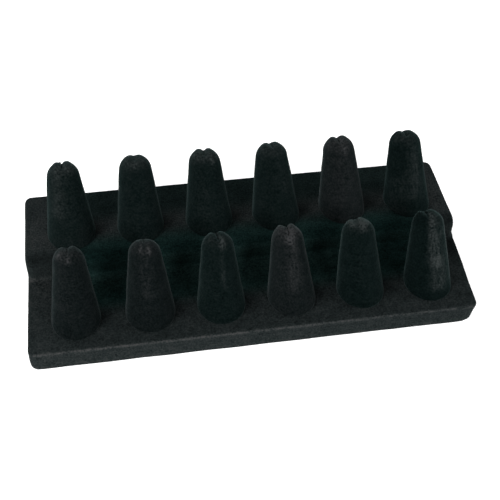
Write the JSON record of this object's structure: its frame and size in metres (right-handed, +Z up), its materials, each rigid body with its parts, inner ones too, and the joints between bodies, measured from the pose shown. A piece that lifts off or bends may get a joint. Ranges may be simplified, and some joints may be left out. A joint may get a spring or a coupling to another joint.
{
  "type": "ring display stand",
  "caption": "Velvet-covered two-tier counter stand with rows of tapered, back-leaning, cleft-tipped fingers that hold rings.",
  "frame": {"origin": "middle of the underside", "axes": "+X along the rows to the right, +Y from the front to the back, +Z up"},
  "size_m": [0.228, 0.098, 0.0588],
  "materials": {
    "tread_velvet": "short-pile velvet",
    "finger_velvet": "short-pile velvet",
    "board": "raw fibreboard",
    "core": "turned wood, unfinished",
    "liner": "matte black backing sheet"
  },
  "bodies": {
    "root": {"lower_board": "board", "upper_board": "board", "base_cover": "tread_velvet", "bottom_liner": "liner", "front_core_1": "core", "front_core_2": "core", "front_core_3": "core", "front_core_4": "core", "front_core_5": "core", "front_core_6": "core", "rear_core_1": "core", "rear_core_2": "core", "rear_core_3": "core", "rear_core_4": "core", "rear_core_5": "core", "rear_core_6": "core", "front_sleeve_1": "finger_velvet", "front_sleeve_2": "finger_velvet", "front_sleeve_3": "finger_velvet", "front_sleeve_4": "finger_velvet", "front_sleeve_5": "finger_velvet", "front_sleeve_6": "finger_velvet", "rear_sleeve_1": "finger_velvet", "rear_sleeve_2": "finger_velvet", "rear_sleeve_3": "finger_velvet", "rear_sleeve_4": "finger_velvet", "rear_sleeve_5": "finger_velvet", "rear_sleeve_6": "finger_velvet"}
  },
  "joints": []
}
